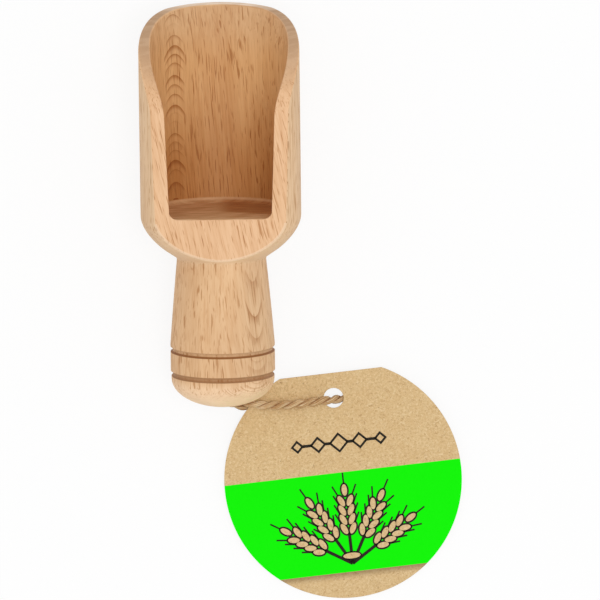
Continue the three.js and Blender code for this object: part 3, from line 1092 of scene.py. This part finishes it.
def wheat_ear(black, pale, place):
    """One ear from its stem up: grains in pairs with their beards, and one grain at the tip."""
    stamp_bar(black, place @ turned_at(0, STEM_LENGTH / 2), (STEM_WIDTH, STEM_LENGTH))
    grains = [(0, STEM_LENGTH + GRAIN_PAIRS * GRAIN_STEP + TIP_RISE, 0.0)]
    for i in range(GRAIN_PAIRS):
        for side in (-1, 1):
            grains.append((side * GRAIN_SIDE, STEM_LENGTH + i * GRAIN_STEP, -side * GRAIN_LEAN))
    for x, y, angle in grains:
        grain = place @ turned_at(x, y, angle)
        stamp_bar(black, grain @ turned_at(0, BEARD_PLACE), BEARD_SIZE)
        stamp_outlined(black, pale, OVAL_SIDES, grain, GRAIN_SIZE, GRAIN_OUTLINE)


def finish_print(name, bm, material, top):
    """Makes flat stamps a thin layer on the card, from just under its face to this height over it."""
    extrude(bm, bm.faces[:], (0, 0, top + INK_SINK))
    bmesh.ops.recalc_face_normals(bm, faces=bm.faces)
    bmesh.ops.translate(bm, verts=bm.verts, vec=(0, 0, TAG_THICKNESS - INK_SINK))
    bmesh.ops.transform(bm, matrix=TAG_MATRIX, verts=bm.verts)
    layer = finish_piece(name, bm, material, PRINT_SMOOTHING)
    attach(layer, "tag")


def build_print(ink, kraft):
    """The black shapes and, a little higher, the kraft-coloured ones inside them."""
    black = bmesh.new()
    pale = bmesh.new()
    for i in range(EAR_COUNT):
        angle = EAR_SPREAD * (0.5 - i / (EAR_COUNT - 1))
        wheat_ear(black, pale, turned_at(0, EAR_FOOT, angle))
    stamp_outlined(black, pale, OVAL_SIDES, turned_at(0, EAR_FOOT + TIE_RISE), TIE_SIZE, TIE_OUTLINE)
    stamp_bar(black, turned_at(0, ROW_PLACE), (ROW_WIDTH, ROW_LINE))
    for i in range(LOZENGE_COUNT):
        place = turned_at(ROW_WIDTH * (i / (LOZENGE_COUNT - 1) - 0.5), ROW_PLACE)
        size = LOZENGE_SIZE - LOZENGE_SHRINK * abs(i - (LOZENGE_COUNT - 1) / 2)
        stamp_outlined(black, pale, LOZENGE_SIDES, place, (size, size), LOZENGE_OUTLINE)
    finish_print("tag_print_black", black, ink, BLACK_HEIGHT)
    finish_print("tag_print_pale", pale, kraft, PALE_HEIGHT)


def kraft_group():
    """Brown kraft card: mottled, with pale and dark fibres in all directions and a few specks."""
    tree = bpy.data.node_groups.new("kraft_fibres", "ShaderNodeTree")
    tree.interface.new_socket("Millimetres", in_out="INPUT", socket_type="NodeSocketVector")
    tree.interface.new_socket("Color", in_out="OUTPUT", socket_type="NodeSocketColor")
    tree.interface.new_socket("Height", in_out="OUTPUT", socket_type="NodeSocketFloat")
    place = add(tree, "NodeGroupInput").outputs["Millimetres"]

    def fibres(size, shift, width):
        """Thin curved lines where a distorted noise passes through its middle, broken up by another."""
        moved = vector_node(tree, "ADD", place, shift)
        field = noise(tree, moved, (size, size, size), detail=1.0, distortion=0.9)
        parts = noise(tree, moved, (size * 0.6, size * 0.6, size), detail=1.0)
        line = ramp(tree, distance(tree, field, 0.5), width, width * 0.3)
        return product(tree, line, ramp(tree, parts, 0.48, 0.6))

    mottle = noise(tree, place, (0.75, 0.75, 0.75), detail=4.0, roughness=0.65)
    cloud = noise(tree, place, (6, 6, 6))
    dark = math_node(tree, "MAXIMUM", fibres(1.5, (0, 0, 0), 0.035), fibres(0.9, (31, 7, 0), 0.03))
    pale = math_node(tree, "MAXIMUM", fibres(1.2, (57, 19, 0), 0.035), fibres(1.9, (11, 83, 0), 0.03))
    cells = add(
        tree, "ShaderNodeTexVoronoi", {"Vector": stretched(tree, place, (3.4, 3.4, 3.4)), "Scale": 1.0},
        feature="F1", voronoi_dimensions="3D",
    )
    speck = ramp(tree, cells.outputs["Distance"], 0.085, 0.05)
    color = mix(tree, ramp(tree, mottle, 0.3, 0.7), srgb(203, 172, 123), srgb(225, 196, 150))
    color = mix(tree, ramp(tree, cloud, 0.35, 0.65, 0.0, 0.35), color, srgb(208, 174, 124))
    color = mix(tree, product(tree, dark, 0.5), color, srgb(160, 120, 74))
    color = mix(tree, product(tree, pale, 0.45), color, srgb(236, 212, 170))
    color = mix(tree, product(tree, speck, 0.45), color, srgb(112, 78, 44))
    height = math_node(tree, "MULTIPLY_ADD", pale, 0.4, product(tree, mottle, 0.6))
    add(tree, "NodeGroupOutput", {"Color": color, "Height": height})
    return tree


def bare_card(tree, fibres):
    """The tag's own millimetres, and the colour and height of the unprinted card there."""
    own = own_millimetres(tree, TAG_MATRIX)
    card = add(tree, "ShaderNodeGroup", {"Millimetres": own}, node_tree=fibres).outputs
    return own, card["Color"], card["Height"]


def ink_material(fibres):
    """Black ink through which the card's fibres hardly show."""
    material, tree, shader = new_material("black_ink")
    card, height = bare_card(tree, fibres)[1:]
    color = mix(tree, 0.02, srgb(10, 10, 9), card)
    roughness = ramp(tree, height, 0.2, 0.8, 0.55, 0.75)
    finish_surface(tree, shader, color, roughness, height, bump_depth=0.02, specular=0.12)
    return material


def kraft_material(fibres):
    """The card with its green band, and the dark fade that is printed along the band's lower edge."""
    material, tree, shader = new_material("printed_kraft")
    own, card, height = bare_card(tree, fibres)
    down, up = split(tree, own)[1:]
    under_print = ramp(tree, up, TAG_THICKNESS + 0.03, TAG_THICKNESS + 0.01)
    over_rim = ramp(tree, up, TAG_THICKNESS - TAG_EASING - 0.05, TAG_THICKNESS - TAG_EASING)
    front = product(tree, over_rim, under_print)
    below_top = ramp(tree, down, BAND_TOP + BAND_BLUR, BAND_TOP - BAND_BLUR)
    above_bottom = ramp(tree, down, BAND_BOTTOM - BAND_BLUR, BAND_BOTTOM + BAND_BLUR)
    fade = ramp(tree, down, BAND_BOTTOM - BAND_SHADE, BAND_BOTTOM, 0.0, 0.55)
    color = mix(tree, product(tree, fade, below_top, front), card, srgb(96, 72, 44))
    green = mix(tree, 0.01, srgb(0, 243, 0), card)
    color = mix(tree, product(tree, below_top, above_bottom, front), color, green)
    roughness = ramp(tree, height, 0.2, 0.8, 0.72, 0.86)
    finish_surface(tree, shader, color, roughness, height, bump_depth=0.03, specular=0.03)
    return material


# Studio

def build_camera():
    """A long lens almost straight above the table."""
    camera = bpy.data.objects.new("camera", bpy.data.cameras.new("camera"))
    camera.data.lens = CAMERA_LENS
    camera.data.sensor_width = 36
    camera.data.clip_end = 10
    back = Vector((0, -math.cos(CAMERA_ELEVATION), math.sin(CAMERA_ELEVATION)))
    tip = Matrix.Rotation(math.pi / 2 - CAMERA_ELEVATION, 4, "X")
    camera.matrix_world = (
        Matrix.Translation(CAMERA_TARGET + back * CAMERA_DISTANCE)
        @ tip @ Matrix.Rotation(CAMERA_ROLL, 4, "Z")
    )
    scene.collection.objects.link(camera)
    scene.camera = camera


def seen_directly(tree):
    """1 for rays from the camera, and for those that a mirror or a glass passes on."""
    path = add(tree, "ShaderNodeLightPath").outputs
    passed_on = math_node(tree, "MAXIMUM", path["Is Glossy Ray"], path["Is Transmission Ray"])
    return math_node(tree, "MAXIMUM", path["Is Camera Ray"], passed_on)


def build_floor():
    """A white table. What the camera sees of it is mostly its own white, and the rest takes the shadow."""
    bm = bmesh.new()
    bmesh.ops.create_grid(bm, x_segments=1, y_segments=1, size=TABLE_SIZE)
    bmesh.ops.translate(bm, verts=bm.verts, vec=(0, 0, -TABLE_DROP))
    material, tree, shader = new_material("white_table")
    shader.inputs["Base Color"].default_value = (TABLE_GREY, TABLE_GREY, TABLE_GREY, 1)
    shader.inputs["Roughness"].default_value = 0.9
    white = add(tree, "ShaderNodeEmission", {"Color": (1, 1, 1, 1), "Strength": 1.0})
    share = product(tree, seen_directly(tree), WHITE_SHARE)
    surface = add(
        tree, "ShaderNodeMixShader",
        {0: share, 1: shader.outputs["BSDF"], 2: white.outputs["Emission"]},
    )
    tree.links.new(surface.outputs["Shader"], tree.nodes["Material Output"].inputs["Surface"])
    plain_object("white_table", bm, material)


def build_lights():
    """An even white surround, and one softbox high up on the right."""
    world = bpy.data.worlds.new("studio")
    world.use_nodes = True
    tree = world.node_tree
    background = tree.nodes["Background"]
    background.inputs["Color"].default_value = (1, 1, 1, 1)
    strength = ramp(tree, seen_directly(tree), 0, 1, WORLD_LIGHT, 1.0)
    tree.links.new(strength, background.inputs["Strength"])
    scene.world = world
    lamp = bpy.data.lights.new("softbox", "AREA")
    lamp.shape = "DISK"
    lamp.size = KEY_LIGHT_SIZE
    lamp.energy = KEY_LIGHT_POWER
    softbox = bpy.data.objects.new("softbox", lamp)
    turned = KEY_LIGHT_PLACE.to_track_quat("Z", "Y").to_matrix().to_4x4()
    softbox.matrix_world = Matrix.Translation(KEY_LIGHT_PLACE) @ turned
    scene.collection.objects.link(softbox)


build_scoop(beech_material())
build_twine(jute_material())
kraft_fibres = kraft_group()
kraft = kraft_material(kraft_fibres)
build_tag(kraft)
build_print(ink_material(kraft_fibres), kraft)
build_camera()
build_floor()
build_lights()

scene.view_settings.view_transform = "Standard"
